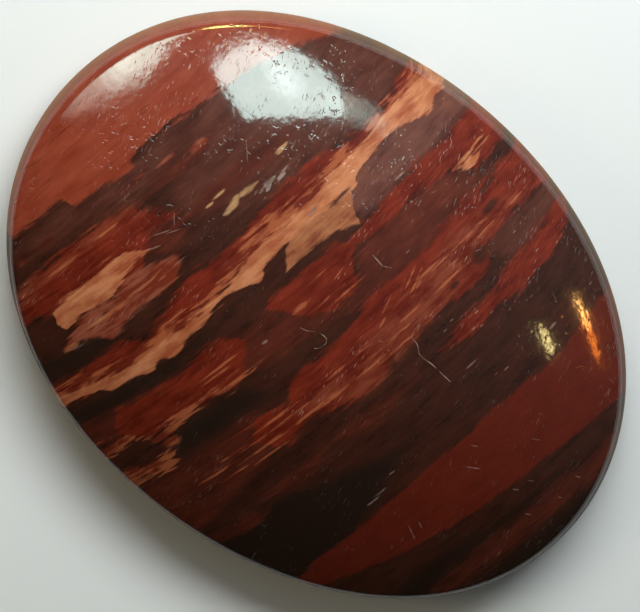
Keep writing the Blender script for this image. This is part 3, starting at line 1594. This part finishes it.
@dataclass(frozen=True)
class Softbox:
    """One flat light, placed by the direction in which the stone's crown sees it.

    Fields: azimuth from +X toward +Y and elevation in degrees, width and height in millimetres,
    radiance, where one is the white of the render, tone, and the turn about its own middle. Its
    glow is an oval, given in shares of the width and height: the middle, how far it reaches each
    way, and the core, the share of that reach that is evenly bright. Last come its distance in
    millimetres, and its role.
    """

    name: str
    azimuth: float
    elevation: float
    width: float
    height: float
    radiance: float
    tone: str
    turn: float = 0.0
    middle: Place = (0.5, 0.5)
    reach: Place = (0.5, 0.5)
    core: float = 0.6
    distance: float = 300.0
    role: Role = Role.MIRRORED

    def build(self, target: Vector) -> bpy.types.Object:
        """Makes the light, facing the target.

        Args:
            target: the point that it faces, in millimetres.

        Returns:
            The light.
        """
        azimuth = math.radians(self.azimuth)
        elevation = math.radians(self.elevation)
        level = math.cos(elevation)
        away = Vector((math.cos(azimuth) * level, math.sin(azimuth) * level, math.sin(elevation)))
        light = bpy.data.lights.new(self.name, "AREA")
        light.shape = "RECTANGLE"
        light.size = self.width * MM
        light.size_y = self.height * MM
        light.energy = self.radiance * math.pi * light.size * light.size_y
        self.shade(light)
        lamp = bpy.data.objects.new(self.name, light)
        sideways = Vector((0, 0, 1)).cross(away).normalized()
        upright = Matrix((sideways, away.cross(sideways), away)).transposed()
        turned = upright @ Matrix.Rotation(math.radians(self.turn), 3, "Z")
        lamp.matrix_world = Matrix.Translation((target + away * self.distance) * MM) @ turned.to_4x4()
        lamp.visible_camera = False
        lamp.visible_diffuse = self.role is Role.LIGHTS
        lamp.visible_glossy = self.role is Role.MIRRORED
        bpy.context.scene.collection.objects.link(lamp)
        return lamp

    def shade(self, light: bpy.types.Light) -> None:
        """Fades the light from its core to the edge of its oval.

        Args:
            light: the light, whose own two sides run from zero to one.
        """
        tree = empty_tree(light)
        sides = add_node(tree, "NewGeometry", output="Parametric")
        scale = (1 / self.reach[0], 1 / self.reach[1], 0)
        shift = (-self.middle[0] / self.reach[0], -self.middle[1] / self.reach[1], 0)
        local = add_node(tree, "VectorMath", {0: sides, 1: scale, 2: shift}, operation="MULTIPLY_ADD")
        radius = add_node(tree, "VectorMath", {0: local}, output="Value", operation="LENGTH")
        glow = share_between(tree, radius, 1.0, self.core)
        emission = add_node(tree, "Emission", {"Color": linear_colour(self.tone), "Strength": glow})
        add_node(tree, "OutputLight", {"Surface": emission})


# The room's light as the stone sees it. Two daylights do the lighting, and the rest are mirrored:
# the window with its pane and curtain, the window beside it, the two lamps on the right, and the
# warm far light along the upper edge.
LIGHTS = (
    Softbox("daylight", 121.0, 43.0, 190.0, 62.0, 9.6, "#fdfeff", distance=118.0, role=Role.LIGHTS),
    Softbox(
        "left_daylight", 212.0, 34.0, 90.0, 70.0, 4.4, "#ffe8c4", core=0.5, distance=180.0, role=Role.LIGHTS
    ),
    Softbox("window", 117.8, 47.3, 134.0, 95.0, 15.5, "#e4fff8", 28.0, (0.56, 0.66), (0.55, 0.64), 0.85),
    Softbox("pane", 116.2, 47.2, 56.0, 84.0, 7.0, "#f4ffff", 28.0, core=0.1),
    Softbox("curtain", 97.0, 45.6, 80.0, 50.0, 4.6, "#e8fff0", 20.0, core=0.3),
    Softbox("side_window", 160.0, 38.4, 180.0, 98.0, 14.5, "#e4fff0", 26.0, (0.42, 0.7), (0.52, 0.56), 0.35),
    Softbox("side_curtain", 172.5, 42.9, 150.0, 82.0, 4.5, "#f4fff0", core=0.4),
    Softbox("lamp", 33.5, 38.1, 32.0, 14.0, 27.0, "#f4dc90", 20.0),
    Softbox("low_lamp", 37.2, 26.9, 80.0, 11.0, 24.0, "#ff8428", 12.0, core=0.4),
    Softbox("low_bulb", 41.2, 27.7, 44.0, 4.0, 80.0, "#ffc870", 12.0, core=0.4),
    Softbox("far_lamp", 130.5, 25.8, 70.0, 84.0, 32.0, "#fff48c", core=0.5),
    Softbox("far_shade", 123.0, 24.9, 120.0, 38.0, 10.0, "#ffc878", core=0.3),
)


@dataclass
class Studio:
    """The sheet of paper, the lights round it and the camera above it, with sizes in millimetres."""

    paper_size: float = 900.0
    lights: tuple[Softbox, ...] = LIGHTS
    # The room is brightest toward this side: its glow grows between these cosines of the angle to it
    bright_side: tuple[float, float, float] = (-0.25, 0.93, 0.27)
    bright_cosines: tuple[float, float] = (-0.3, 1.0)
    bright_wall: str = "#7d8284"
    dim_wall: str = "#2c2012"
    # The camera looks down at the stone from about 13 degrees off square
    distance: float = 170.0
    tilt_x: float = 12.72
    tilt_y: float = 4.0
    roll: float = 39.41
    pixels_per_mm: float = 17.251
    sensor_width: float = 36.0
    nearest: float = 1.0
    farthest: float = 5000.0
    target: tuple[float, float, float] = (0.0, 0.0, 3.0)
    # Where the target falls in the image
    target_column: float = 327.02
    target_row: float = 315.03

    def build(self) -> None:
        """Makes the paper, the lights, the room's glow and the camera."""
        self.lay_paper()
        for light in self.lights:
            light.build(Vector(self.target))
        self.light_room()
        self.place_camera()

    def lay_paper(self) -> None:
        """Lays a square of paper under the stone."""
        half = self.paper_size * MM / 2
        corners = [(-half, -half, 0), (half, -half, 0), (half, half, 0), (-half, half, 0)]
        mesh = bpy.data.meshes.new("paper")
        mesh.from_pydata(corners, [], [(0, 1, 2, 3)])
        mesh.materials.append(WhitePaper().build())
        paper = bpy.data.objects.new("paper", mesh)
        bpy.context.scene.collection.objects.link(paper)

    def light_room(self) -> None:
        """Gives the room its glow, which fills the shadows, from the bright side to the dim one."""
        world = bpy.data.worlds.new("Room")
        tree = empty_tree(world)
        ways = {0: add_node(tree, "TexCoord", output="Generated"), 1: self.bright_side}
        cosine = add_node(tree, "VectorMath", ways, output="Value", operation="DOT_PRODUCT")
        share = share_between(tree, cosine, *self.bright_cosines)
        walls = {"Factor": share, "A": linear_colour(self.dim_wall), "B": linear_colour(self.bright_wall)}
        colour = add_node(tree, "Mix", walls, data_type="RGBA")
        add_node(tree, "OutputWorld", {"Surface": add_node(tree, "Background", {"Color": colour})})
        bpy.context.scene.world = world

    def place_camera(self) -> None:
        """Places the camera from its tilts, its roll and where the stone falls in the image."""
        lean_x = math.tan(math.radians(self.tilt_x))
        lean_y = math.tan(math.radians(self.tilt_y))
        back = Vector((-lean_x, lean_y, 1)).normalized()
        roll = math.radians(self.roll)
        up = back.cross(Vector((math.cos(roll), math.sin(roll), 0))).normalized()
        right = up.cross(back)
        place = Vector(self.target) + back * self.distance
        # Turning the camera a little takes the target from the image's middle to where it falls
        sideways = (self.target_column - IMAGE_WIDTH / 2) / self.pixels_per_mm
        down = (self.target_row - IMAGE_HEIGHT / 2) / self.pixels_per_mm
        aim = Vector(self.target) - right * sideways + up * down
        back = (place - aim).normalized()
        right = up.cross(back).normalized()
        up = back.cross(right)
        data = bpy.data.cameras.new("camera")
        data.sensor_width = self.sensor_width
        data.lens = self.pixels_per_mm * self.distance * data.sensor_width / IMAGE_WIDTH
        data.clip_start = self.nearest * MM
        data.clip_end = self.farthest * MM
        camera = bpy.data.objects.new("camera", data)
        camera.matrix_world = Matrix.Translation(place * MM) @ Matrix((right, up, back)).transposed().to_4x4()
        bpy.context.scene.collection.objects.link(camera)
        bpy.context.scene.camera = camera


def main() -> None:
    """Builds the stone and its surroundings in order, and reports each."""
    logging.basicConfig(level=logging.INFO, format="%(name)s: %(message)s")
    scene = bpy.context.scene
    scene.view_settings.view_transform = "Standard"
    low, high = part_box(NODE)
    size = (high - low) / MM
    stone = Cabochon(length=size.x, width=size.y, thickness=size.z)
    piece = stone.build()
    stone.dress(piece, PolishedJasper())
    log.info("%s: %d faces", piece.name, len(piece.data.polygons))
    Studio().build()
    log.info("studio: paper, lights and camera")


if __name__ == "__main__":
    main()
